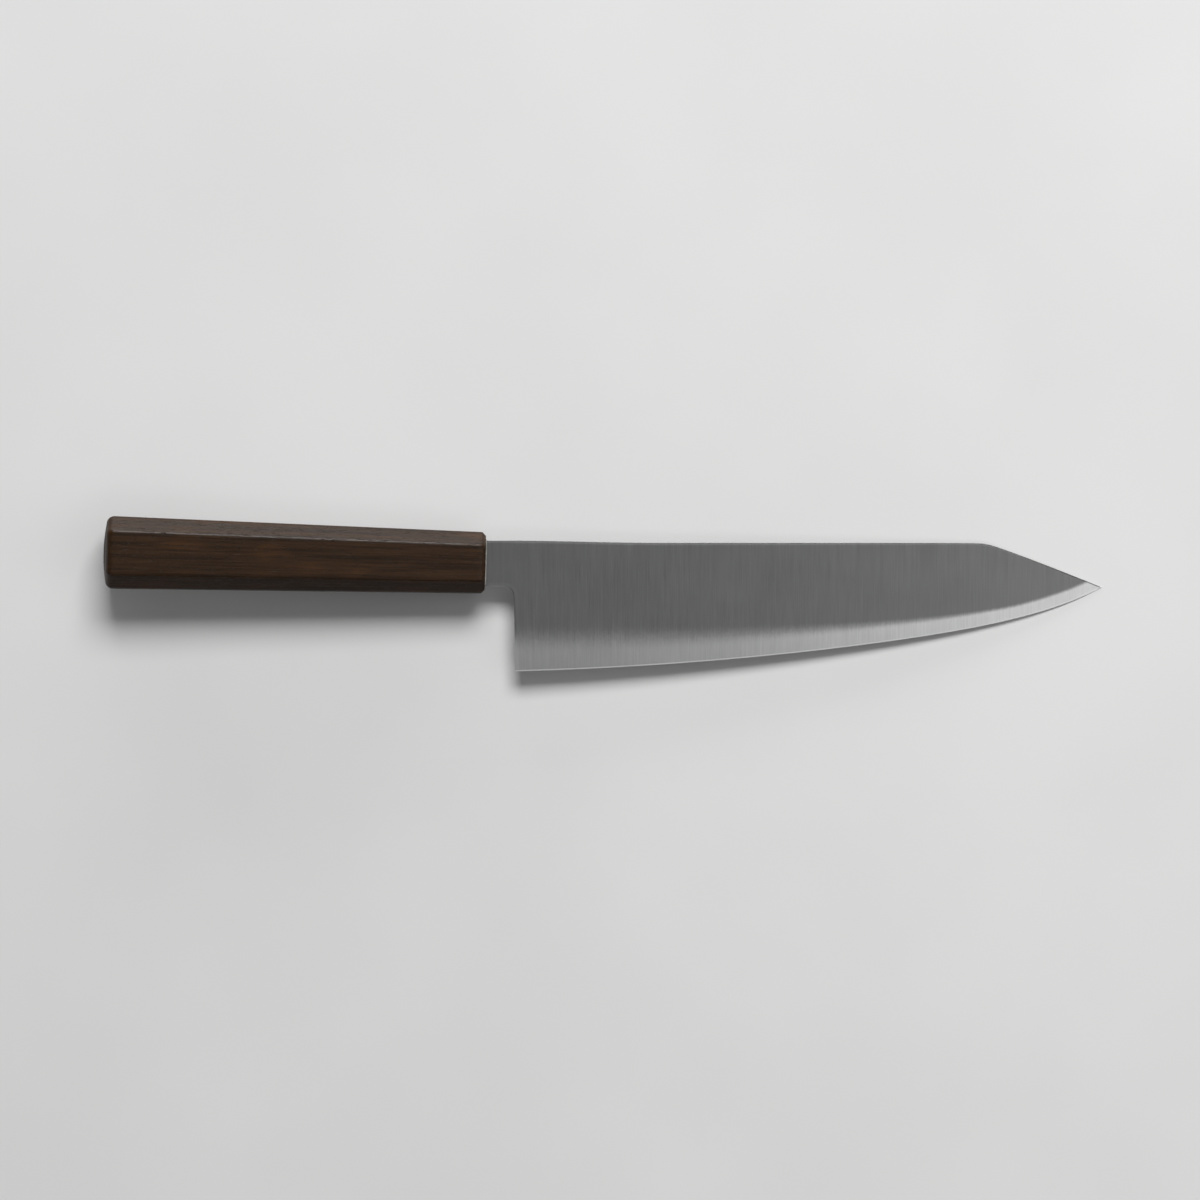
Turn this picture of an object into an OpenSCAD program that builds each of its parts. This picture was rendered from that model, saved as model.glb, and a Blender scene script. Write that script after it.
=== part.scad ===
// Kitchen knife with a clipped tip: a three-layer blade with a hidden tang in a one-piece octagonal
// wooden handle. The knife lies on its left side, as on a table: it touches the surface with the
// lower front edge of the handle and with the tip of the blade. X runs from the handle to the tip,
// Y towards the spine and Z up. The origin is on the surface, under the middle of the knife.

/* [Blade outline] */
// Length of the cutting edge, from the heel to the tip
blade_length = 210; // [180:5:240]
// Height of the blade at the heel
heel_height = 46.7; // [43:0.1:50]
// How much the spine line drops just ahead of the neck
spine_drop = 0.75; // [0:0.05:1.5]
// Height of the tip above the corner of the heel
tip_height = 30.0; // [28:0.5:32]
// Distance from the tip back to the corner where the spine is clipped
clip_length = 41.5; // [36:0.5:46]
// How far the clip bulges beyond a straight line
clip_bulge = 0.3; // [0:0.1:0.8]
// How much of the clip's corner is rounded away
clip_softness = 0.45; // [0.2:0.05:0.8]
// Rise of the edge from its even slope
edge_slope_rise = 5.4; // [3:0.1:7]
// Rise of the edge from its belly
edge_belly_rise = 17.7; // [14:0.1:19]
// Lean of the heel, in degrees
heel_lean = 1.2; // [0:0.1:3]
// Radius between the heel and the neck
choil_radius = 3.8; // [2:0.1:5]

/* [Blade thickness] */
// Thickness of the spine over the heel
spine_thickness = 2.3; // [1.9:0.1:2.6]
// Thickness of the spine at the tip
tip_thickness = 0.6; // [0.4:0.1:0.8]
// Thickness just behind the sharpened edge
edge_thickness = 0.22; // [0.16:0.02:0.3]
// Height of the sharpened edge
sharpened_height = 0.45; // [0.3:0.05:0.6]
// Size of the eased corners of the spine
spine_ease = 0.3; // [0.1:0.05:0.4]

/* [Layers] */
// Height of bare core steel above the edge, at the heel
band_at_heel = 11.2; // [9:0.1:13]
// Height of bare core steel above the edge, near the tip
band_at_tip = 4.4; // [3.5:0.1:5.5]
// How far the convex band stands beyond the flat grind, on each side
band_swell = 0.08; // [0.04:0.01:0.1]

/* [Neck and tang] */
// Distance from the heel to the front of the handle
neck_length = 10.9; // [9:0.1:14]
// Height of the neck
neck_height = 16.4; // [15:0.1:17]
// How far the tang goes into the handle
tang_length = 98; // [80:1:102]
// Height of the tang behind its shoulder
tang_root_height = 11.4; // [9:0.2:12]
// Height of the tang at its end
tang_end_height = 6; // [4:0.2:8]

/* [Handle] */
// Length of the handle
handle_length = 136; // [125:1:145]
// Height of the handle at the butt
butt_height = 26; // [24:0.5:28]
// Height of the handle at the front
front_height = 21.9; // [21:0.1:23]
// Width of the handle at the butt
butt_width = 21; // [19:0.5:23]
// Width of the handle at the front
front_width = 18.6; // [17:0.1:19.5]
// Leg of the corner bevels at the butt
butt_bevel = 5.2; // [4.6:0.1:5.6]
// Leg of the corner bevels at the front
front_bevel = 4.5; // [4:0.1:5]
// Radius of the butt's edge
butt_round = 2.8; // [1.5:0.1:3]
// How far the butt's end face is domed
butt_dome = 0.9; // [0.5:0.1:1.5]
// Chamfer round the handle's front
front_chamfer = 1.3; // [0.8:0.1:1.4]
// Angle between the handle's axis and the spine
handle_slope = 1.6; // [0:0.1:2.5]
// Distance from the spine down to the handle's axis, at the front
handle_below_spine = 8.0; // [7.8:0.1:8.2]

/* [Tang joint] */
// Height of the socket for the tang
socket_height = 13; // [12.4:0.1:14]
// Width of the socket for the tang
socket_width = 4; // [3.4:0.1:5]
// Depth of the socket
socket_depth = 104; // [103:1:115]
// Height of the mouth round the neck
mouth_height = 17.2; // [17.1:0.05:17.6]
// Width of the mouth round the neck
mouth_width = 3.4; // [3:0.1:3.8]
// Depth of the mouth
mouth_depth = 1.6; // [1:0.1:3]
// How far the seal stands out of the mouth
seal_proud = 0.6; // [0.3:0.1:1]

/* [Hidden] */
$fn = 64;

// Colours of the steel, the wood and the two fillings
core_colour = [0.72, 0.73, 0.74];
cladding_colour = [0.5, 0.51, 0.52];
wood_colour = [0.3, 0.2, 0.13];
bedding_colour = [0.66, 0.6, 0.46];
seal_colour = [0.5, 0.49, 0.45];

// Run of the spine's drop, ahead of the heel
spine_drop_run = 50;
// Powers of the edge's belly and of its last sweep up to the tip
belly_power = 2;
sweep_power = 10;
edge_sweep_rise = tip_height - edge_slope_rise - edge_belly_rise;
// Power of the spine's taper from heel to tip
taper_power = 1.6;
// Thickness that the blade may have beyond its edge, for each mm of height that is left at the tip
tip_flare = 0.04;
// Share of the edge over which the bare band narrows
band_run = 0.85;

// Numbers of sections along the blade's body, along its clip, and of steps up the convex band
body_steps = 40;
clip_steps = 14;
band_steps = 3;
// How strongly the clip's sections crowd towards the tip
clip_crowding = 1.5;
// Share of the clip that the last section leaves for the point
point_share = 0.03;
// Most of the height that the band may take in a section of the core, so that no two points meet
band_limit = 0.92;
// Halvings in the search for the end of the cladding
search_steps = 30;
// Steps of the round between heel and neck
choil_steps = 16;
// Steps of the butt's rounded edge and of its dome
round_steps = 5;
dome_steps = 3;
// A length past any face that is cut through
beyond = 20;

clip_start = blade_length - clip_length;
neck_bottom = heel_height - neck_height;
handle_y = heel_height - handle_below_spine;
edge_half = edge_thickness / 2;

function smooth_step(t) = let (c = min(1, max(0, t))) c * c * (3 - 2 * c);
function mix(a, b, t) = a + (b - a) * t;

// Outline: heights of the spine, the clip, the edge and the whole blade at a distance x from the heel
function low_spine() = heel_height - spine_drop;
function spine_line(x) = heel_height - spine_drop * smooth_step(x / spine_drop_run);
function clip_line(x) = let (left = blade_length - x)
    tip_height + (low_spine() - tip_height) * left / clip_length
    + 4 * clip_bulge * left * (x - clip_start) / pow(clip_length, 2);
function softer_lower(a, b, r) = (a + b) / 2 - sqrt(pow((a - b) / 2, 2) + r * r);
function top_line(x) = softer_lower(spine_line(x), clip_line(x), clip_softness);
function edge_line(x) = let (u = max(0, x) / blade_length)
    edge_slope_rise * u + edge_belly_rise * pow(u, belly_power) + edge_sweep_rise * pow(u, sweep_power);
function blade_height(x) = top_line(x) - edge_line(x);

// Half thicknesses at the top line, and at the top of the bare band of core steel
function top_half(x) = let (u = max(0, x) / blade_length)
    min(mix(spine_thickness, tip_thickness, pow(u, taper_power)) / 2,
        edge_half + tip_flare * blade_height(x));
function band_height(x) = let (u = max(0, x) / blade_length)
    min(blade_height(x), mix(band_at_heel, band_at_tip, min(1, u / band_run)));
function core_half(x) = let (share = band_height(x) / blade_height(x))
    mix(edge_half, top_half(x), share) + band_swell * (1 - share);
function flank_slope(x) = (top_half(x) - edge_half - band_swell) / blade_height(x);

// Half thickness of the core at a height s above the edge: convex in the band, then even
function core_face(x, s) = let (
        b = band_height(x),
        h = sharpened(x),
        below = max(0, b - s),
        curve = (core_half(x) - flank_slope(x) * (b - h) - edge_half) / pow(b - h, 2))
    core_half(x) - flank_slope(x) * below - curve * below * below;
function sharpened(x) = min(sharpened_height, blade_height(x) / 3);

// Where the cladding ends, because the bare band has reached the clip
function cladding_end(low, high, tries) = tries == 0 ? low : let (middle = (low + high) / 2)
    blade_height(middle) > band_height(middle)
        ? cladding_end(middle, high, tries - 1)
        : cladding_end(low, middle, tries - 1);
cladding_length = cladding_end(clip_start, blade_length, search_steps);

// Distances of the sections from the heel: even along the body, closer towards the tip
function body_places() = [for (i = [0 : body_steps - 1]) clip_start * i / body_steps];
function clip_places(end) = [for (i = [0 : clip_steps])
    mix(clip_start, end, 1 - pow(1 - (1 - point_share) * i / clip_steps, clip_crowding))];
function places(end) = concat([stock_back], body_places(), clip_places(end));
stock_back = -neck_length - tang_length - beyond;

// Sections at x, as points in space that go round the layer
function core_side(x) = let (
        h = sharpened(x),
        b = min(band_height(x), band_limit * blade_height(x)))
    concat([for (i = [0 : band_steps]) let (s = mix(h, b, i / band_steps)) [s, core_face(x, s)]],
        [[blade_height(x), core_half(x)]]);
function core_section(x) = let (side = core_side(x), last = len(side) - 1)
    concat([[x, edge_line(x), 0]],
        [for (p = side) [x, edge_line(x) + p[0], p[1]]],
        [for (i = [last : -1 : 0]) [x, edge_line(x) + side[i][0], -side[i][1]]]);
function cladding_section(x) = let (
        top = top_line(x),
        thick = top_half(x) - core_half(x),
        clear = blade_height(x) - band_height(x),
        ease = min(spine_ease, thick / 2, clear / 3))
    [[x, top - clear, core_half(x)],
        [x, top - ease, top_half(x) - flank_slope(x) * ease],
        [x, top, top_half(x) - ease],
        [x, top, core_half(x)]];

// A closed skin over a row of like sections, ending in one point
module loft(sections, point) {
    count = len(sections[0]);
    last = len(sections) - 1;
    polyhedron(
        points = concat([for (s = sections) each s], [point]),
        faces = concat(
            [[for (j = [count - 1 : -1 : 0]) j]],
            [for (i = [0 : last - 1], j = [0 : count - 1]) let (k = (j + 1) % count)
                [i * count + j, i * count + k, (i + 1) * count + k]],
            [for (i = [0 : last - 1], j = [0 : count - 1]) let (k = (j + 1) % count)
                [i * count + j, (i + 1) * count + k, (i + 1) * count + j]],
            [for (j = [0 : count - 1]) let (k = (j + 1) % count)
                [last * count + j, last * count + k, len(sections) * count]]));
}

// The layers as they leave the grinder, before the notch and the tang are cut
module core_stock() {
    loft([for (x = places(blade_length)) core_section(x)], [blade_length, tip_height, 0]);
}

module cladding_stock() {
    end = cladding_length;
    loft([for (x = places(end)) cladding_section(x)], [end, top_line(end), top_half(end)]);
}

// The notch behind the heel and under the neck
module notch_outline() {
    round_y = neck_bottom - choil_radius;
    heel_x = -tan(heel_lean) * round_y;
    round_x = heel_x - choil_radius;
    round_corner = [for (i = [0 : choil_steps]) let (a = 90 * i / choil_steps)
        [round_x + choil_radius * cos(a), round_y + choil_radius * sin(a)]];
    polygon(concat([[stock_back - beyond, -beyond], [tan(heel_lean) * beyond, -beyond]],
        round_corner, [[stock_back - beyond, neck_bottom]]));
}

// Puts what is drawn along the handle's axis, with 0 at its front, into the blade's place
module along_handle() {
    translate([-neck_length, handle_y, 0]) rotate([0, 0, -handle_slope]) children();
}

module tang_outline() {
    root = tang_root_height / 2;
    end = tang_end_height / 2;
    polygon([[-mouth_depth, root], [-mouth_depth, -root], [-tang_length, -end], [-tang_length, end]]);
}

// All that is cut away from the stock to leave the blade, the neck and the tang
module cut_away() {
    linear_extrude(height = beyond, center = true) notch_outline();
    along_handle() linear_extrude(height = beyond, center = true) difference() {
        translate([-tang_length - 4 * beyond, -3 * beyond])
            square([tang_length + 4 * beyond - mouth_depth, 6 * beyond]);
        tang_outline();
    }
}

// The neck and the tang at their full thickness, as the wood and the fillings meet them
module neck_and_tang() {
    core = core_section(0);
    flank = cladding_section(0);
    face = concat([[core[0][1], 0]], [for (i = [1 : band_steps + 1]) [core[i][1], core[i][2]]],
        [for (i = [1 : 2]) [flank[i][1], flank[i][2]]]);
    difference() {
        translate([stock_back, 0, 0]) rotate([90, 0, 90])
            linear_extrude(height = -stock_back - choil_radius)
                polygon(concat(face, [for (i = [len(face) - 1 : -1 : 1]) [face[i][0], -face[i][1]]]));
        cut_away();
    }
}

// Handle: an octagon across the axis, drawn in by an inset on all its sides
function handle_section(x, inset) = let (
        t = -x / handle_length,
        v = mix(front_height, butt_height, t) / 2 - inset,
        w = mix(front_width, butt_width, t) / 2 - inset,
        b = mix(front_bevel, butt_bevel, t) - inset * (2 - sqrt(2)))
    [[x, -v + b, -w], [x, v - b, -w], [x, v, -w + b], [x, v, w - b],
        [x, v - b, w], [x, -v + b, w], [x, -v, w - b], [x, -v, -w + b]];
function handle_front() = [handle_section(0, front_chamfer), handle_section(-front_chamfer, 0)];
function handle_round() = [for (i = [0 : round_steps]) let (a = 90 * i / round_steps)
    handle_section(-(handle_length - butt_dome - butt_round * (1 - sin(a))),
        butt_round * (1 - cos(a)))];
function handle_dome() = [for (i = [1 : dome_steps]) let (t = i / (dome_steps + 1))
    handle_section(-(handle_length - butt_dome * pow(1 - t, 2)),
        mix(butt_round, butt_width / 2, t))];
function handle_sections() = concat(handle_front(), handle_round(), handle_dome());

module handle_blank() {
    loft(handle_sections(), [-handle_length, 0, 0]);
}

// A slot with round ends, from the handle's front back to a depth
module slot(height, width, back, front) {
    straight = height - width;
    translate([-back, 0, 0]) rotate([90, 0, 90]) linear_extrude(height = back + front) {
        square([straight, width], center = true);
        for (side = [-1, 1]) translate([side * straight / 2, 0]) circle(width / 2);
    }
}

module socket_space() {
    slot(socket_height, socket_width, socket_depth, -mouth_depth);
}

module mouth_space(front) {
    slot(mouth_height, mouth_width, mouth_depth, front);
}

// Resting place: the knife is turned nose down until its tip meets the surface that the lower front
// edge of the handle already touches, and then moved over the origin
function from_handle(p) = [-neck_length + p[0] * cos(handle_slope) + p[1] * sin(handle_slope),
    handle_y - p[0] * sin(handle_slope) + p[1] * cos(handle_slope), p[2]];
front_edge = from_handle(handle_section(-front_chamfer, 0)[1]);
rest_tilt = min([for (x = clip_places(blade_length))
    atan2(-top_half(x) - front_edge[2], x - front_edge[0])]);
function tilted(p) = [p[0] * cos(rest_tilt) + p[2] * sin(rest_tilt), p[1],
    -p[0] * sin(rest_tilt) + p[2] * cos(rest_tilt)];
handle_points = [for (s = handle_sections()) each [for (p = s) tilted(from_handle(p))]];
back_reach = min([for (p = handle_points) p[0]]);
tip_reach = tilted([blade_length, tip_height, 0])[0];
spine_reach = max([for (p = handle_points) p[1]]);

module at_rest() {
    translate([-(back_reach + tip_reach) / 2, -spine_reach / 2, -tilted(front_edge)[2]])
        rotate([0, rest_tilt, 0]) children();
}

module core_layer() {
    color(core_colour) at_rest() difference() {
        core_stock();
        cut_away();
    }
}

module right_cladding() {
    color(cladding_colour) at_rest() difference() {
        cladding_stock();
        cut_away();
    }
}

module left_cladding() {
    color(cladding_colour) at_rest() difference() {
        mirror([0, 0, 1]) cladding_stock();
        cut_away();
    }
}

module handle() {
    color(wood_colour) at_rest() along_handle() difference() {
        handle_blank();
        socket_space();
        mouth_space(beyond);
    }
}

module tang_bedding() {
    color(bedding_colour) at_rest() difference() {
        along_handle() socket_space();
        neck_and_tang();
    }
}

module mouth_seal() {
    color(seal_colour) at_rest() difference() {
        along_handle() mouth_space(seal_proud);
        neck_and_tang();
    }
}

core_layer();
right_cladding();
left_cladding();
handle();
tang_bedding();
mouth_seal();
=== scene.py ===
import bpy
import numpy as np
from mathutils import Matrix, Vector


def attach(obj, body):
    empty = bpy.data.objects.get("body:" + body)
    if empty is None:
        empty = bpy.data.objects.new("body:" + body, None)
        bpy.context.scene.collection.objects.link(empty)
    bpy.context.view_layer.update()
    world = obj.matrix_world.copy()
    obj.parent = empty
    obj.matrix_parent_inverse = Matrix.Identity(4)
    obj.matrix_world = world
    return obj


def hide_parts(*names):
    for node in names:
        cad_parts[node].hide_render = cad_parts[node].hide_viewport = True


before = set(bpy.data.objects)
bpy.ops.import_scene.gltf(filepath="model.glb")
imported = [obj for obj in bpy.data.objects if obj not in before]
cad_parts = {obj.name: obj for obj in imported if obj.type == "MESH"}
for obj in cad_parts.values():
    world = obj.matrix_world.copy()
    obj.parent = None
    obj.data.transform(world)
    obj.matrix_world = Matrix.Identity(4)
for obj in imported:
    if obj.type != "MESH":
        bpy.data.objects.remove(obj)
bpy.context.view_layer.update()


# Core layer: the hard steel in the middle of the three that are forged together and ground as one
# blade. It is left bare in a band along the edge, and runs on through the neck into the tang.
BLADE_LENGTH = 210.0
HEEL_HEIGHT = 46.7
SPINE_DROP, SPINE_DROP_RUN = 0.75, 50.0
TIP_HEIGHT, CLIP_LENGTH, CLIP_BULGE, CLIP_SOFTNESS = 30.0, 41.5, 0.3, 0.45
SLOPE_RISE, BELLY_RISE, SWEEP_POWER = 5.4, 17.7, 10
HEEL_LEAN, CHOIL_RADIUS = np.radians(1.2), 3.8
SPINE_THICKNESS, TIP_THICKNESS, TAPER_POWER, TIP_FLARE = 2.3, 0.6, 1.6, 0.04
EDGE_HALF, SHARPENED_HEIGHT, SPINE_EASE = 0.11, 0.45, 0.14
BAND_AT_HEEL, BAND_AT_TIP, BAND_RUN, BAND_SWELL = 11.2, 4.4, 0.85, 0.08
NECK_LENGTH, NECK_HEIGHT = 10.9, 16.4
TANG_LENGTH, TANG_ROOT, TANG_END = 98.0, 11.4, 6.0
HANDLE_SLOPE, HANDLE_BELOW_SPINE, MOUTH_DEPTH = np.radians(1.6), 8.0, 1.6

NECK_BOTTOM = HEEL_HEIGHT - NECK_HEIGHT
CHOIL_Y = NECK_BOTTOM - CHOIL_RADIUS
CHOIL_X = -np.tan(HEEL_LEAN) * CHOIL_Y - CHOIL_RADIUS
# Least height of the blade, so that no two points of its last section meet
LEAST_HEIGHT = 0.02
# A distance beyond every other, in mm
FAR = 1000.0


def mix(a, b, t):
    """a where t is 0, b where t is 1, and evenly between."""
    return a + (b - a) * t


def smooth_step(t):
    """3 t^2 - 2 t^3 between 0 and 1, which leaves 0 and reaches 1 without a corner."""
    c = np.clip(t, 0, 1)
    return c * c * (3 - 2 * c)


def along(x):
    """Share of the blade's length from heel to tip."""
    return np.clip(x, 0, BLADE_LENGTH) / BLADE_LENGTH


def top_line(x):
    """Height of the spine and of the clip: the lower of the two, with the corner between them softened."""
    low = HEEL_HEIGHT - SPINE_DROP
    spine = HEEL_HEIGHT - SPINE_DROP * smooth_step(x / SPINE_DROP_RUN)
    left = BLADE_LENGTH - x
    bulge = 4 * CLIP_BULGE * left * (x - (BLADE_LENGTH - CLIP_LENGTH)) / CLIP_LENGTH ** 2
    clip = TIP_HEIGHT + (low - TIP_HEIGHT) * left / CLIP_LENGTH + bulge
    return (spine + clip) / 2 - np.sqrt(((spine - clip) / 2) ** 2 + CLIP_SOFTNESS ** 2)


def edge_line(x):
    """Height of the edge: an even slope, a belly with the square of the length and a late sweep up."""
    u = along(x)
    sweep = TIP_HEIGHT - SLOPE_RISE - BELLY_RISE
    return SLOPE_RISE * u + BELLY_RISE * u ** 2 + sweep * u ** SWEEP_POWER


def blade_height(x):
    """Top line less edge line, and never less than the least height."""
    return np.maximum(LEAST_HEIGHT, top_line(x) - edge_line(x))


def top_half(x):
    """Half thickness at the top line: it tapers from heel to tip, and thins out with the height left."""
    taper = mix(SPINE_THICKNESS, TIP_THICKNESS, along(x) ** TAPER_POWER) / 2
    return np.minimum(taper, EDGE_HALF + TIP_FLARE * blade_height(x))


def band_height(x):
    """Height of the bare band: it narrows evenly over its run, and is never more than the blade's."""
    narrowing = mix(BAND_AT_HEEL, BAND_AT_TIP, np.minimum(1, along(x) / BAND_RUN))
    return np.minimum(blade_height(x), narrowing)


def core_half(x):
    """Half thickness of the core above its band: as thick as an even wedge there, and the band's swell."""
    share = band_height(x) / blade_height(x)
    return mix(EDGE_HALF, top_half(x), share) + BAND_SWELL * (1 - share)


def flank_slope(x):
    """How much the half thickness of the flank grows with every mm of height."""
    return (top_half(x) - EDGE_HALF - BAND_SWELL) / blade_height(x)


def sharpened(x):
    """Height of the sharpened edge, or a third of the blade's where that is less."""
    return np.minimum(SHARPENED_HEIGHT, blade_height(x) / 3)


def core_face(x, s):
    """Half thickness of the core at a height s above the edge: a wedge at first, then convex, then even."""
    b, h = band_height(x), sharpened(x)
    below = np.clip(b - s, 0, b - h)
    curve = (core_half(x) - flank_slope(x) * (b - h) - EDGE_HALF) / np.maximum(b - h, 1e-6) ** 2
    half = core_half(x) - flank_slope(x) * below - curve * below ** 2
    return np.where(s < h, EDGE_HALF * s / h, half)


def heel_distance(x, y):
    """Distance in from the heel, the choil or the bottom of the neck, whichever is least."""
    heel = np.where(y < CHOIL_Y, x + np.tan(HEEL_LEAN) * y, FAR)
    choil = np.hypot(x - CHOIL_X, np.maximum(0, y - CHOIL_Y)) - CHOIL_RADIUS
    choil = np.where((x > CHOIL_X) & (y >= CHOIL_Y), choil, FAR)
    neck = np.where(x <= CHOIL_X, y - NECK_BOTTOM, FAR)
    return np.maximum(0, np.minimum.reduce([heel, choil, neck]))


def from_handle(p0, p1, p2):
    """Points of the handle's frame, whose axis slopes against the spine, turned into the blade's frame."""
    x = -NECK_LENGTH + p0 * np.cos(HANDLE_SLOPE) + p1 * np.sin(HANDLE_SLOPE)
    y = HEEL_HEIGHT - HANDLE_BELOW_SPINE - p0 * np.sin(HANDLE_SLOPE) + p1 * np.cos(HANDLE_SLOPE)
    return np.stack([x, y, p2], axis=-1)


# Points of the grid: columns along the tang, the neck, the choil, the body and the clip, and rows up
# the shoulder and from there to the top. The shoulder is the height at which the choil starts.
TANG_COLUMNS, NECK_COLUMNS, CHOIL_COLUMNS, BODY_COLUMNS, CLIP_COLUMNS = 16, 12, 18, 170, 110
SHOULDER_ROWS, UPPER_ROWS = 14, 20
# Where the clip's columns start, and how much they crowd together towards the tip
CLIP_COLUMNS_START, CLIP_CROWDING = 160.0, 1.4
# Length of the step from the tang's last column to the neck's first
STEP_LENGTH = 0.01
# Share of the height between band and top that lies below the shoulder
SHOULDER_SHARE = (CHOIL_Y - BAND_AT_HEEL) / (HEEL_HEIGHT - BAND_AT_HEEL)
# Shares of an eased corner's width at which its round has points, from the rim inwards
EASE_STEPS = 1 - np.sin(np.radians([90, 60, 30, 0]))


def shares(count):
    """So many even shares from 0 up to just below 1."""
    return np.linspace(0, 1, count, endpoint=False)


def rows_up(band_rows):
    """Rows of the grid from the edge up, and the number of the row at the shoulder.

    A row's height is a sum of measures. The row holds its share of each: of the sharpened edge's
    height, the band's, the shoulder's and the top's, and of the ease's width.
    """
    rows = []
    if band_rows:
        rows += [(0, 0, 0, 0, 0)]
        rows += [(1 - t, t, 0, 0, 0) for t in shares(band_rows)]
    rows += [(0, 1 - t, t, 0, 0) for t in shares(SHOULDER_ROWS)]
    shoulder_row = len(rows)
    rows += [(0, 0, 1, 0, k) for k in EASE_STEPS[:-1]]
    rows += [(0, 0, 1 - t, t, 1 - 2 * t) for t in np.linspace(0, 1, UPPER_ROWS)]
    rows += [(0, 0, 0, 1, -k) for k in EASE_STEPS[-2::-1]]
    return np.array(rows), shoulder_row


def body_grid(rows, end, band_limit):
    """Points from the heel to the end of a layer. The first column leans as the heel does."""
    crowded = 1 - np.linspace(1, 0, CLIP_COLUMNS) ** CLIP_CROWDING
    columns = np.concatenate([SPINE_EASE * EASE_STEPS[:-1],
                              mix(SPINE_EASE, CLIP_COLUMNS_START, shares(BODY_COLUMNS)),
                              mix(CLIP_COLUMNS_START, end, crowded)])
    heel_y = rows @ [SHARPENED_HEIGHT, BAND_AT_HEEL, CHOIL_Y, HEEL_HEIGHT, 0]
    heel_x = -np.tan(HEEL_LEAN) * np.minimum(heel_y, CHOIL_Y)
    x = heel_x[None, :] * (1 - columns / end)[:, None] + columns[:, None]
    height = blade_height(x)
    band = np.minimum(band_height(x), band_limit * height)
    shoulder = mix(band, height, SHOULDER_SHARE)
    ease = np.minimum(SPINE_EASE, (height - shoulder) / 3)
    measures = np.stack([sharpened(x), band, shoulder, height, ease], axis=-1)
    return x, edge_line(x) + (measures * rows).sum(axis=-1)


def neck_grid(rows):
    """Points from the mouth's bottom to the heel, above the bottom of the neck and then the choil's arc."""
    turn = np.radians(mix(90, 0, shares(CHOIL_COLUMNS)))
    x = np.concatenate([mix(-NECK_LENGTH - MOUTH_DEPTH, CHOIL_X, shares(NECK_COLUMNS)),
                        CHOIL_X + CHOIL_RADIUS * np.cos(turn)])
    low = np.concatenate([np.full(NECK_COLUMNS, NECK_BOTTOM), CHOIL_Y + CHOIL_RADIUS * np.sin(turn)])
    y = low[:, None] * rows[:, 2] + top_line(x)[:, None] * rows[:, 3] + SPINE_EASE * rows[:, 4]
    return np.repeat(x[:, None], len(rows), axis=1), y


def tang_grid(rows):
    """Points of the tang, which narrows evenly from its root to its end, along the handle's axis."""
    depth = np.linspace(-TANG_LENGTH, -MOUTH_DEPTH - STEP_LENGTH, TANG_COLUMNS)
    half = mix(TANG_ROOT, TANG_END, -depth / TANG_LENGTH) / 2
    across = half[:, None] * (2 * rows[:, 3] - 1) + SPINE_EASE * rows[:, 4]
    placed = from_handle(np.repeat(depth[:, None], len(rows), axis=1), across, 0 * across)
    return placed[..., 0], placed[..., 1]


def layer_grid(end, band_rows, band_limit):
    """Places x and y of a layer's points, and which of its cells are steel.

    band_limit is the most of a section's height that the band may take. Behind the heel, the cells
    above the shoulder are steel.
    """
    rows, shoulder_row = rows_up(band_rows)
    upper = rows[shoulder_row:]
    behind = [np.vstack(parts) for parts in zip(tang_grid(upper), neck_grid(upper))]
    behind = [np.pad(part, ((0, 0), (shoulder_row, 0)), mode="edge") for part in behind]
    x, y = [np.vstack(parts) for parts in zip(behind, body_grid(rows, end, band_limit))]
    column = np.arange(len(x) - 1)[:, None]
    row = np.arange(len(rows) - 1)[None, :]
    return x, y, (column >= len(behind[0])) | (row >= shoulder_row)


# Resting place of the whole knife: nose down by a small angle, so that the lower front edge of the
# handle and the tip touch the floor. The corner of the heel is then at this place in the room.
REST_TILT = np.radians(2.3736)
HEEL_PLACE = np.array([-31.4784, -27.6666, 8.80571])
METRES_PER_MM = 0.001


def at_rest(points):
    """Points of the blade's frame turned about y by the tilt and moved to the heel's place, in metres."""
    x, y, z = points[..., 0], points[..., 1], points[..., 2]
    turned = [x * np.cos(REST_TILT) + z * np.sin(REST_TILT), y,
              z * np.cos(REST_TILT) - x * np.sin(REST_TILT)]
    return (np.stack(turned, axis=-1) + HEEL_PLACE) * METRES_PER_MM


def piece_from(name, points, faces, facts, material):
    """A mesh of four-sided faces over points of the blade's frame.

    facts are numbers or vectors, one for each point, which the material reads as attributes.
    """
    used, faces = np.unique(faces, return_inverse=True)
    faces = faces.reshape(-1, 4)
    mesh = bpy.data.meshes.new(name)
    mesh.from_pydata(at_rest(points[used]).tolist(), [], faces.tolist())
    mesh.polygons.foreach_set("use_smooth", np.ones(len(faces), dtype=bool))
    for key, values in facts.items():
        kind, field = ("FLOAT_VECTOR", "vector") if values.ndim == 2 else ("FLOAT", "value")
        attribute = mesh.attributes.new(key, kind, "POINT")
        attribute.data.foreach_set(field, values[used].astype(np.float32).ravel())
    mesh.materials.append(material)
    mesh.update()
    piece = bpy.data.objects.new(name, mesh)
    bpy.context.collection.objects.link(piece)
    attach(piece, "root")
    return piece


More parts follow.
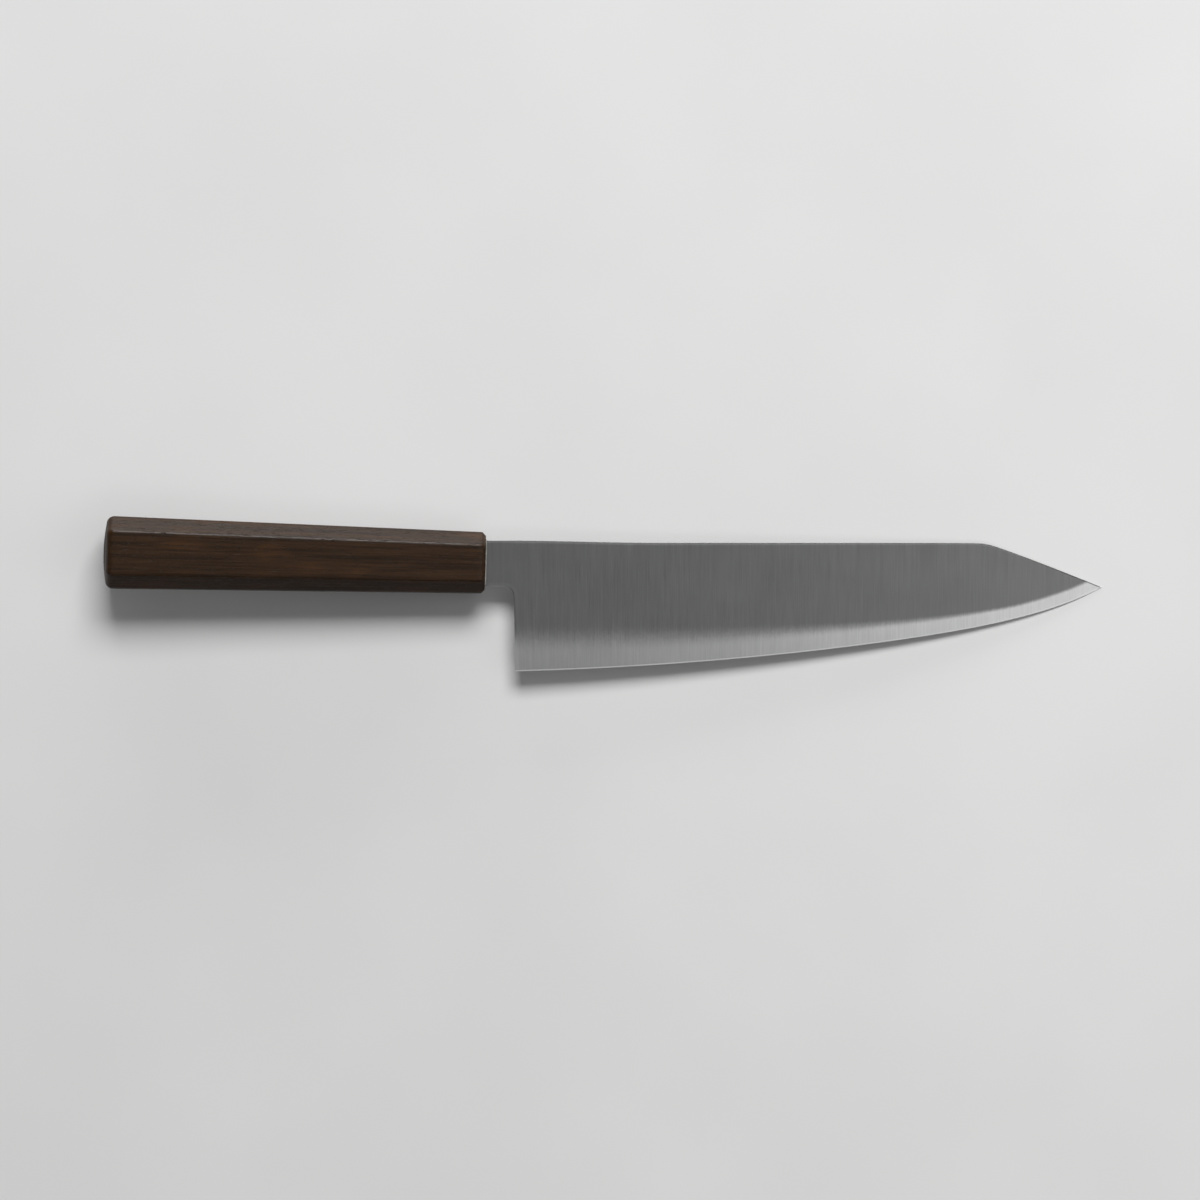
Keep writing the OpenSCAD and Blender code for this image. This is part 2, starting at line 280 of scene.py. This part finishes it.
def layer(name, grid, outer, inner, material):
    """A closed layer: two faces over one grid, at z outer and inner, and a rim along its open borders."""
    x, y, shown = grid
    rows, size = x.shape[1], x.size
    column, row = np.nonzero(shown)
    a = column * rows + row
    cells = np.stack([a, a + rows, a + rows + 1, a + 1], axis=1)
    edges = np.concatenate([cells[:, [k, (k + 1) % 4]] for k in range(4)])
    forth = edges[:, 0] * size + edges[:, 1]
    back = edges[:, 1] * size + edges[:, 0]
    border = edges[~np.isin(forth, back)]
    rim = np.stack([border[:, 1], border[:, 0], border[:, 0] + size, border[:, 1] + size], axis=1)
    faces = np.concatenate([cells, cells[:, ::-1] + size, rim])
    if outer.mean() < inner.mean():
        faces = faces[:, ::-1]
    own = np.concatenate([np.stack([x, y, z], axis=-1).reshape(-1, 3) for z in (outer, inner)])
    height = y - edge_line(x)
    facts = {"height": height, "above": height - band_height(x),
             "from_heel": heel_distance(x, y), "from_spine": top_line(x) - y}
    facts = {key: np.tile(values.ravel(), 2) for key, values in facts.items()}
    return piece_from(name, own, faces, {"own": own, **facts}, material)


class Value:
    """A number or colour that varies over a surface, and is used in formulas like a number."""

    def __init__(self, shader, socket):
        self.shader = shader
        self.socket = socket

    def maths(self, operation, first, second):
        """The value that one Math node works out from two others."""
        return self.shader.value("ShaderNodeMath", {"operation": operation}, {0: first, 1: second})

    def __add__(self, other):
        return self.maths("ADD", self, other)

    def __sub__(self, other):
        return self.maths("SUBTRACT", self, other)

    def __rsub__(self, other):
        return self.maths("SUBTRACT", other, self)

    def __mul__(self, other):
        return self.maths("MULTIPLY", self, other)

    def __truediv__(self, other):
        return self.maths("DIVIDE", self, other)

    __radd__ = __add__
    __rmul__ = __mul__


class Shader:
    """One material, and the ways in which its values are made."""

    def __init__(self, name):
        self.material = bpy.data.materials.new(name)
        self.material.use_nodes = True
        self.tree = self.material.node_tree
        self.surface = self.tree.nodes["Principled BSDF"]

    def feed(self, socket, value):
        """Link a Value to the socket, or set anything else on it."""
        if isinstance(value, Value):
            self.tree.links.new(value.socket, socket)
        else:
            socket.default_value = value

    def value(self, kind, settings, inputs, output=0):
        """A value from a new node of that kind, with its settings made before its inputs are fed."""
        node = self.tree.nodes.new(kind)
        for key, setting in settings.items():
            setattr(node, key, setting)
        for key, given in inputs.items():
            self.feed(node.inputs[key], given)
        return Value(self, node.outputs[output])

    def attribute(self, name, output="Fac"):
        """One of the facts that the piece's points carry."""
        return self.value("ShaderNodeAttribute", {"attribute_name": name}, {}, output)

    def place(self):
        """Where a point is on the object, in metres."""
        return self.value("ShaderNodeTexCoord", {}, {}, "Object")

    def along_axis(self, vector, axis):
        """The vector's x, y or z, for axis 0, 1 or 2."""
        return self.value("ShaderNodeSeparateXYZ", {}, {0: vector}, axis)

    def grain(self, vector, waves, detail=2.0, roughness=0.5):
        """Noise with so many waves in a unit of length along each axis of the vector."""
        stretched = self.value("ShaderNodeVectorMath", {"operation": "MULTIPLY"}, {0: vector, 1: waves})
        return self.value("ShaderNodeTexNoise", {}, {"Vector": stretched, "Scale": 1.0,
                                                     "Detail": detail, "Roughness": roughness})

    def ramp(self, value, low, high, start=0.0, end=1.0):
        """start where value is low, end where it is high, and a smooth change between."""
        return self.value("ShaderNodeMapRange", {"interpolation_type": "SMOOTHSTEP"},
                          {0: value, 1: low, 2: high, 3: start, 4: end})

    def blend(self, share, first, second):
        """The first colour where share is 0 and the second where it is 1."""
        return self.value("ShaderNodeMix", {"data_type": "RGBA"}, {0: share, 6: first, 7: second}, 2)

    def dimmed(self, colour, level):
        """A colour multiplied by a number."""
        shade = self.value("ShaderNodeCombineColor", {}, {0: level, 1: level, 2: level})
        return self.value("ShaderNodeMix", {"data_type": "RGBA", "blend_type": "MULTIPLY"},
                          {0: 1.0, 6: colour, 7: shade}, 2)

    def bumps(self, height, depth):
        """A surface normal for bumps of that height, with depth in metres."""
        return self.value("ShaderNodeBump", {}, {"Height": height, "Distance": depth})

    def finish(self, **inputs):
        """Feed the surface's sockets, whose names have low lines for spaces, and give the material."""
        for key, value in inputs.items():
            self.feed(self.surface.inputs[key.replace("_", " ")], value)
        return self.material


def grey(level, warmth=0.0):
    """A grey of that level, with more red and less blue the warmer it is."""
    return (level * (1 + warmth), level, level * (1 - warmth), 1.0)


# Levels of the ground face, of the bare band at its heel and tip, and of the sharpened edge. The band's
# lighter tone and its rise towards the tip are partly a painted reflection, and the sharpened edge's
# level is a painted highlight
FACE_LEVEL, BAND_HEEL_LEVEL, BAND_TIP_LEVEL, SHARP_HIGHLIGHT_LEVEL = 0.34, 0.4988, 0.841, 0.86
BAND_ROUGHNESS, FACE_ROUGHNESS = 0.385, 0.31
# Width in mm of the change from band to face at the heel and near the tip, and between which shares
# of that width above the band's border it lies
SOFT_BORDER, CRISP_BORDER = 11.0, 1.6
BORDER_SHARES = (-0.45, 0.55)
# Waves in a mm along the blade, up it and through it
HAIRLINE_WAVES, STREAK_WAVES = (7.0, 0.10, 1.0), (1.6, 0.035, 0.2)
CLOUD_WAVES, SHORT_LINE_WAVES = (0.03, 0.05, 0.05), (2.4, 0.5, 1.0)
HAIRLINE_DEPTH = 0.000004


def steel(name):
    """Steel with hairlines from spine to edge, and the bare band's tone, partly its own and partly a
    painted reflection.

    The tone is the band's below its border and the face's above, times the noise of hairlines,
    streaks and clouds. A painted highlight lightens it at the heel, choil and bottom of the neck, a
    painted dark reflection darkens the corner of the spine, and a painted highlight makes the sharpened
    edge lightest. The band is a little rougher than the face.
    """
    s = Shader(name)
    own = s.attribute("own", "Vector")
    x = s.along_axis(own, 0)
    hairlines = s.grain(own, HAIRLINE_WAVES, 3.0, 0.6)
    streaks = s.grain(own, STREAK_WAVES, 3.0, 0.6)
    clouds = s.grain(own, CLOUD_WAVES)
    short_lines = s.grain(own, SHORT_LINE_WAVES, 3.0, 0.7)
    border = s.ramp(x, 0.0, 190.0, SOFT_BORDER, CRISP_BORDER)
    above = (s.attribute("above") + (short_lines - 0.5) * border * 0.5) / border
    # Painted reflection: the band's tone grows lighter from heel to tip
    band = s.blend(s.ramp(x, 10.0, 200.0), grey(BAND_HEEL_LEVEL), grey(BAND_TIP_LEVEL))
    tone = s.blend(s.ramp(above, *BORDER_SHARES), band, grey(FACE_LEVEL))
    change = 1.0 + (hairlines - 0.5) * 0.26 + (streaks - 0.5) * 0.22 + (clouds - 0.5) * 0.20
    # Painted highlight: the steel is lighter within about 2 mm of the heel, choil and bottom of the neck
    painted_heel_highlight = s.ramp(s.attribute("from_heel"), 0.4, 1.9, 1.16, 1.0)
    # Painted dark reflection: the steel is darker within about 0.6 mm of the spine's corner
    painted_spine_dark_reflection = s.ramp(s.attribute("from_spine"), 0.15, 0.6, 0.35, 1.0)
    ground_and_painted_light = s.dimmed(tone, change * painted_heel_highlight * painted_spine_dark_reflection)
    # Painted highlight: the sharpened edge is given the lightest level
    not_sharp = s.ramp(s.attribute("height"), 0.36, 0.5)
    rough = s.ramp(above, *BORDER_SHARES, BAND_ROUGHNESS, FACE_ROUGHNESS)
    return s.finish(Base_Color=s.blend(not_sharp, grey(SHARP_HIGHLIGHT_LEVEL), ground_and_painted_light), Metallic=1.0,
                    Roughness=rough + (hairlines - 0.5) * 0.06 + (streaks - 0.5) * 0.03,
                    Normal=s.bumps(hairlines * 0.7 + streaks * 0.3, HAIRLINE_DEPTH))


CORE_BAND_ROWS = 14
# Most of the height that the band may take in a section of the core, so that no two rows meet
CORE_BAND_LIMIT = 0.96
core_grid = layer_grid(BLADE_LENGTH - LEAST_HEIGHT, CORE_BAND_ROWS, CORE_BAND_LIMIT)
core_z = core_face(core_grid[0], core_grid[1] - edge_line(core_grid[0]))
core = layer("core_layer_steel", core_grid, core_z, -core_z, steel("core_steel"))
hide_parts("core_layer")


# Claddings: softer stainless steel, forged to both sides of the core. They are ground thin towards
# the edge and end in the line of the bare band, and their outer corners are eased by hand.
# They end this far short of where the band takes up the whole height, which is looked for at so many
# places along the clip
CLADDING_SHORT, PLACES = 0.05, 4001
clip_places = np.linspace(BLADE_LENGTH - CLIP_LENGTH, BLADE_LENGTH, PLACES)
all_band = blade_height(clip_places) <= band_height(clip_places)
cladding_end = clip_places[np.argmax(all_band)] - CLADDING_SHORT
cladding_grid = layer_grid(cladding_end, 0, 1.0)
# Most of a cladding's thickness that its eased corners may take away
MOST_EASED = 0.8


def cladding_faces(x, y):
    """Half thicknesses at a cladding's inner and outer face.

    The inner one is the core's. The outer one grows from it with the height above the band, no
    further than the top's, and drops in a quarter circle where the rim is nearer than the ease.
    """
    inner = core_half(x)
    above_band = np.maximum(0, y - edge_line(x) - band_height(x))
    full = np.minimum(top_half(x), inner + flank_slope(x) * above_band)
    rim = np.minimum(heel_distance(x, y), np.maximum(0, top_line(x) - y))
    rim = np.where(x > -NECK_LENGTH, rim, FAR)
    lost = SPINE_EASE - np.sqrt(SPINE_EASE ** 2 - np.maximum(0, SPINE_EASE - rim) ** 2)
    return inner, full - np.minimum(lost, MOST_EASED * (full - inner))


cladding_inner, cladding_outer = cladding_faces(*cladding_grid[:2])
cladding_steel = steel("cladding_steel")
for side, name in ((1, "right_cladding"), (-1, "left_cladding")):
    cladding = layer(name + "_steel", cladding_grid, side * cladding_outer, side * cladding_inner,
                     cladding_steel)
    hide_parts(name)


# Handle: one piece of dark, open-grained wood, an octagon that grows towards the butt. Its ridges are
# softened, its butt is rounded and domed, and its front is chamfered round the mouth for the neck.
HANDLE_LENGTH = 136.0
FRONT_HEIGHT, FRONT_WIDTH, FRONT_BEVEL = 21.9, 18.6, 4.5
BUTT_HEIGHT, BUTT_WIDTH, BUTT_BEVEL = 26.0, 21.0, 5.2
BUTT_ROUND, BUTT_DOME, FRONT_CHAMFER, RIDGE_ROUND = 2.8, 0.9, 1.3, 0.75
MOUTH_HEIGHT, MOUTH_WIDTH = 17.2, 3.4
# Points round a ridge, and shares of a flat at which it has points: close to its ridges and between
RIDGE_POINTS = 5
FLAT_POINTS = np.array([0.03, 0.3, 0.5, 0.7, 0.97])
# Most of a side of the octagon that the round of a ridge may take at either end
RIDGE_LIMIT = 0.4
# Points of the slot's outline, along which its ring is laid
SLOT_POINTS = 720
# Rings over the mouth's bottom and over the front, as shares of the way out
BOTTOM_SHARES, FRONT_SHARES = (0.02, 0.97, 1.0), (0.0, 0.06, 0.94)
# Rings through the front's chamfer, as shares of it: how far back, and how far in from the full size
CHAMFER_RINGS = [(0.0, 1.0), (0.03 / FRONT_CHAMFER, 0.94), (0.15, 0.85), (0.5, 0.5), (0.9, 0.1)]
# Rings along the flats, the first this far behind the chamfer, and those round the butt's edge
FLAT_RINGS, BEHIND_CHAMFER, BUTT_ROUND_RINGS = 70, 0.12, 10
# Rings over the butt's dome, as shares of the way in
DOME_SHARES = np.linspace(0.06, 0.985, 12)


def octagon(p0, inset):
    """Points round the handle at p0 along its axis: eight flats, and a small parabola at every ridge."""
    t = -p0 / HANDLE_LENGTH
    v = mix(FRONT_HEIGHT, BUTT_HEIGHT, t) / 2 - inset
    w = mix(FRONT_WIDTH, BUTT_WIDTH, t) / 2 - inset
    b = mix(FRONT_BEVEL, BUTT_BEVEL, t) - inset * (2 - np.sqrt(2))
    corners = np.array([[v - b, w], [v, w - b], [v, b - w], [v - b, -w],
                        [b - v, -w], [-v, b - w], [-v, w - b], [b - v, w]])
    to_last = np.roll(corners, 1, axis=0) - corners
    to_next = np.roll(corners, -1, axis=0) - corners
    last_length = np.linalg.norm(to_last, axis=1, keepdims=True)
    next_length = np.linalg.norm(to_next, axis=1, keepdims=True)
    reach = np.minimum(RIDGE_ROUND, RIDGE_LIMIT * np.minimum(last_length, next_length))
    start = (corners + to_last * reach / last_length)[:, None]
    stop = (corners + to_next * reach / next_length)[:, None]
    k = np.linspace(0, 1, RIDGE_POINTS)[:, None]
    ridges = (1 - k) ** 2 * start + 2 * k * (1 - k) * corners[:, None] + k ** 2 * stop
    flat = np.roll(corners, -1, axis=0)[:, None] - stop
    length = np.linalg.norm(flat, axis=2, keepdims=True)
    flats = stop + flat * FLAT_POINTS[:, None] * (length - reach[:, None]) / length
    return np.concatenate([ridges, flats], axis=1).reshape(-1, 2)


def distances(ring):
    """How far round a closed ring each point is, and after them the length of the whole ring."""
    steps = np.linalg.norm(np.roll(ring, -1, axis=0) - ring, axis=1)
    return np.concatenate([[0], np.cumsum(steps)])


def slot_ring(height, width, guide):
    """A slot with round ends. Its points are as far round it as the guide's are, in shares of the whole."""
    reached = distances(guide)
    part = (reached[:-1] + guide[0, 0]) / reached[-1] % 1
    turn = 2 * np.pi * shares(SLOT_POINTS)
    straight = (height - width) / 2
    outline = np.stack([np.sin(turn) * width / 2 + straight * np.sign(np.sin(turn)),
                        np.cos(turn) * width / 2], axis=1)
    reached = distances(outline)
    closed = np.vstack([outline, outline[:1]])
    return np.stack([np.interp(part, reached / reached[-1], closed[:, k]) for k in (0, 1)], axis=1)


def ringed(name, rings, material, joined=False):
    """A skin over rings, each given as its place along the handle's axis and its points round it.

    It ends in a cap over its first and last ring or, when joined, runs on from its last to its first.
    """
    places, outlines = [np.array(part) for part in zip(*rings)]
    count, around = outlines.shape[:2]
    along_axis = np.repeat(places[:, None], around, axis=1)
    own = np.stack([along_axis, outlines[..., 0], outlines[..., 1]], axis=-1).reshape(-1, 3)
    i, j = np.meshgrid(np.arange(count if joined else count - 1), np.arange(around), indexing="ij")
    i, j = i.ravel(), j.ravel()
    k, n = (j + 1) % around, (i + 1) % count
    faces = np.stack([i * around + j, i * around + k, n * around + k, n * around + j], axis=1)
    if not joined:
        a = np.arange(around // 2 - 1)
        cap = np.stack([a, a + 1, around - 2 - a, around - 1 - a], axis=1)
        faces = np.concatenate([faces, cap[:, ::-1], cap + (count - 1) * around])
    return piece_from(name, from_handle(*own.T), faces, {"own": own}, material)


# Waves in a mm along the handle, up it and across it
WOOD_STREAK_WAVES, FINE_WAVES = (0.022, 0.9, 0.9), (0.06, 4.0, 4.0)
PORE_WAVES, PATCH_WAVES = (0.30, 5.0, 5.0), (0.035, 0.10, 0.10)
DARK_BROWN, MIDDLE_BROWN = (0.014, 0.006, 0.0016, 1.0), (0.040, 0.018, 0.006, 1.0)
WARM_BROWN, PORE_BROWN = (0.080, 0.031, 0.008, 1.0), (0.008, 0.004, 0.002, 1.0)
WOOD_ROUGHNESS, PORE_DEPTH = 0.36, 0.00009
# The end grain on the butt is rougher: from the first place on it, forwards to the second, in mm
END_GRAIN_START, END_GRAIN_STOP, END_GRAIN_ROUGHER = 0.1 - HANDLE_LENGTH, 1.6 - HANDLE_LENGTH, 0.3


def wood(name):
    """Long fine streaks and short open pores along the grain, a few warmer patches and a low sheen."""
    s = Shader(name)
    own = s.attribute("own", "Vector")
    streaks = s.grain(own, WOOD_STREAK_WAVES, 5.0, 0.62)
    fine = s.grain(own, FINE_WAVES, 4.0, 0.65)
    pores = s.ramp(s.grain(own, PORE_WAVES, 2.0, 0.55), 0.60, 0.70)
    patches = s.grain(own, PATCH_WAVES)
    colour = s.blend(s.ramp(streaks, 0.32, 0.68), DARK_BROWN, MIDDLE_BROWN)
    colour = s.blend(s.ramp(patches, 0.52, 0.72) * 0.40, colour, WARM_BROWN)
    colour = s.blend(s.ramp(fine, 0.40, 0.62, 0.45, 0.0), colour, DARK_BROWN)
    colour = s.blend(pores * 0.75, colour, PORE_BROWN)
    end_grain = s.ramp(s.along_axis(own, 0), END_GRAIN_START, END_GRAIN_STOP, END_GRAIN_ROUGHER, 0.0)
    return s.finish(Base_Color=colour, Specular_IOR_Level=0.25,
                    Roughness=WOOD_ROUGHNESS + (fine - 0.5) * 0.14 + pores * 0.15 + end_grain,
                    Normal=s.bumps(fine * 0.35 - pores, PORE_DEPTH))


front_ring = octagon(0.0, FRONT_CHAMFER)
mouth_ring = slot_ring(MOUTH_HEIGHT, MOUTH_WIDTH, front_ring)
round_start = HANDLE_LENGTH - BUTT_DOME - BUTT_ROUND

# From the bottom of the mouth out to the front, over the chamfer and along the flats
handle_rings = [(-MOUTH_DEPTH, mouth_ring * t) for t in BOTTOM_SHARES]
handle_rings += [(0.0, mix(mouth_ring, front_ring, t)) for t in FRONT_SHARES]
handle_rings += [(-FRONT_CHAMFER * back, octagon(-FRONT_CHAMFER * back, FRONT_CHAMFER * inset))
                 for back, inset in CHAMFER_RINGS]
handle_rings += [(-p, octagon(-p, 0.0))
                 for p in np.linspace(FRONT_CHAMFER + BEHIND_CHAMFER, round_start, FLAT_RINGS)]
# Round the edge of the butt by a quarter turn, and over its dome, a parabola
for angle in np.radians(90) * (1 - shares(BUTT_ROUND_RINGS)[::-1]):
    p0 = -(round_start + BUTT_ROUND * np.sin(angle))
    handle_rings.append((p0, octagon(p0, BUTT_ROUND * (1 - np.cos(angle)))))
dome_ring = handle_rings[-1][1]
handle_rings += [(-(HANDLE_LENGTH - BUTT_DOME * (1 - t) ** 2), dome_ring * (1 - t)) for t in DOME_SHARES]
handle = ringed("wooden_handle", handle_rings, wood("dark_wood"))
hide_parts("handle")


# Mouth seal: a thin bead of grey resin. It is poured into the mouth round the neck to keep water out,
# and stands a little proud of the handle's front with a rounded face.
SEAL_PROUD = 0.6
# The bead's inner border lies just inside the steel, whose middle is below the handle's axis
SEAL_INNER_HEIGHT, SEAL_INNER_WIDTH, SEAL_DROP = NECK_HEIGHT - 0.4, 1.6, 0.2
# Its outer border is the mouth's, a little smaller, and it starts just above the mouth's bottom
SEAL_OUTER_SHARE, SEAL_OVER_BOTTOM = 0.995, 0.05
# Rings over its rounded face, and how far behind the front the ring below them is
SEAL_ROUND_RINGS, SEAL_WALL_RING = 9, 0.1
# Waves in a metre of the resin's clouds, and their depth
RESIN_WAVES, RESIN_DEPTH = (900.0, 900.0, 900.0), 0.00002


def resin(name, dark, light, roughness):
    """Faintly clouded resin, with clouds about a millimetre wide."""
    s = Shader(name)
    clouds = s.grain(s.place(), RESIN_WAVES, 3.0)
    return s.finish(Base_Color=s.blend(s.ramp(clouds, 0.35, 0.65), dark, light),
                    Roughness=roughness + (clouds - 0.5) * 0.12, Normal=s.bumps(clouds, RESIN_DEPTH))


outer_ring = mouth_ring * SEAL_OUTER_SHARE
inner_ring = slot_ring(SEAL_INNER_HEIGHT, SEAL_INNER_WIDTH, front_ring) - [SEAL_DROP, 0.0]
seal_back = SEAL_OVER_BOTTOM - MOUTH_DEPTH
seal_rings = [(seal_back, inner_ring)]
seal_rings += [(SEAL_PROUD * np.sin(a), mix(outer_ring, inner_ring, 1 - np.cos(a)))
               for a in np.radians(np.linspace(90, 0, SEAL_ROUND_RINGS))]
seal_rings += [(-SEAL_WALL_RING, outer_ring), (seal_back, outer_ring)]
seal_resin = resin("seal_resin", (0.24, 0.23, 0.21, 1.0), (0.34, 0.33, 0.30, 1.0), 0.35)
seal = ringed("mouth_seal_bead", seal_rings, seal_resin, joined=True)
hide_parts("mouth_seal")


# Tang bedding: amber adhesive, poured into the socket before the tang is pushed in, which fixes the
# blade in the handle. No side shows it, so the frame's own solid stays and only gets its material.
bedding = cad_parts["tang_bedding"]
bedding_resin = resin("bedding_resin", (0.40, 0.33, 0.20, 1.0), (0.50, 0.43, 0.28, 1.0), 0.5)
bedding.data.materials.clear()
bedding.data.materials.append(bedding_resin)


# Floor: a plain pale board, a flat sheet of square cells that is far wider than the knife, with
# hardly visible clouds in its matt paint.
FLOOR_REACH, FLOOR_CELLS = 3.0, 30
PAINT_WAVES, PAINT_LEVELS, PAINT_WARMTH, PAINT_ROUGHNESS = (9.0, 9.0, 9.0), (0.665, 0.69), 0.003, 0.9


def pale_paint(name):
    """Matt paint whose level wavers between two that are close together, in clouds 11 cm wide."""
    s = Shader(name)
    clouds = s.grain(s.place(), PAINT_WAVES, 3.0)
    dark, light = [grey(level, PAINT_WARMTH) for level in PAINT_LEVELS]
    return s.finish(Base_Color=s.blend(s.ramp(clouds, 0.3, 0.7), dark, light), Roughness=PAINT_ROUGHNESS)


lines = np.linspace(-FLOOR_REACH, FLOOR_REACH, FLOOR_CELLS + 1)
floor_x, floor_y = np.meshgrid(lines, lines, indexing="ij")
floor_points = np.stack([floor_x, floor_y, 0 * floor_x], axis=-1).reshape(-1, 3)
across, up = [part.ravel() for part in np.meshgrid(*[np.arange(FLOOR_CELLS)] * 2, indexing="ij")]
corner = across * (FLOOR_CELLS + 1) + up
floor_faces = np.stack([corner, corner + FLOOR_CELLS + 1, corner + FLOOR_CELLS + 2, corner + 1], axis=1)
floor_mesh = bpy.data.meshes.new("floor")
floor_mesh.from_pydata(floor_points.tolist(), [], floor_faces.tolist())
floor_mesh.materials.append(pale_paint("pale_floor"))
floor = bpy.data.objects.new("floor", floor_mesh)
bpy.context.collection.objects.link(floor)


# Light: one broad soft lamp beyond the spine makes the shadow, with a low strip under it. Three dim
# panels, beside the tip, overhead and on the near side, are there for the steel and the ridges of the
# wood to mirror, and a faint even light comes from all round.
ROOM_COLOUR, ROOM_STRENGTH = (0.97, 0.98, 1.0, 1.0), 0.09


def lamp(name, azimuth, elevation, distance, width, height, power):
    """A rectangular lamp that faces the knife. Azimuth 0 is beyond the spine and 90 beyond the tip."""
    a, e = np.radians(azimuth), np.radians(elevation)
    away = np.array([np.sin(a) * np.cos(e), np.cos(a) * np.cos(e), np.sin(e)])
    data = bpy.data.lights.new(name, "AREA")
    data.shape = "RECTANGLE"
    data.size, data.size_y, data.energy = width, height, power
    light = bpy.data.objects.new(name, data)
    light.location = away * distance
    light.rotation_mode = "QUATERNION"
    light.rotation_quaternion = Vector(-away).to_track_quat("-Z", "Y")
    bpy.context.collection.objects.link(light)


lamp("key_lamp", azimuth=8, elevation=50, distance=3.2, width=1.9, height=1.3, power=104.0)
lamp("low_strip", azimuth=0, elevation=9, distance=1.8, width=2.6, height=0.35, power=20.0)
lamp("side_panel", azimuth=92, elevation=44, distance=0.8, width=0.7, height=0.6, power=0.85)
lamp("overhead_panel", azimuth=78, elevation=66, distance=1.7, width=1.1, height=0.9, power=0.38)
lamp("near_panel", azimuth=155, elevation=62, distance=1.6, width=1.2, height=0.35, power=1.5)

world = bpy.data.worlds.new("room")
world.use_nodes = True
background = world.node_tree.nodes["Background"]
background.inputs["Color"].default_value = ROOM_COLOUR
background.inputs["Strength"].default_value = ROOM_STRENGTH
bpy.context.scene.world = world


# Camera: straight above the knife, looking down with the tip to the right. It stands far off with a
# long lens, which leaves little perspective, as in the photograph.
CAMERA_X, CAMERA_Y, CAMERA_HEIGHT = -0.0013, -0.0022, 3.0
# Width that the picture shows, and the level at which it shows it, near the blade's upper face
VIEW_WIDTH, VIEW_LEVEL = 0.4283, 0.010
SENSOR_WIDTH, NEAR_LIMIT, FAR_LIMIT = 36.0, 0.05, 20.0
camera_data = bpy.data.cameras.new("camera")
camera_data.sensor_width = SENSOR_WIDTH
camera_data.lens = SENSOR_WIDTH * (CAMERA_HEIGHT - VIEW_LEVEL) / VIEW_WIDTH
camera_data.clip_start, camera_data.clip_end = NEAR_LIMIT, FAR_LIMIT
camera = bpy.data.objects.new("camera", camera_data)
camera.location = (CAMERA_X, CAMERA_Y, CAMERA_HEIGHT)
bpy.context.collection.objects.link(camera)
bpy.context.scene.camera = camera
bpy.context.scene.view_settings.view_transform = "Standard"
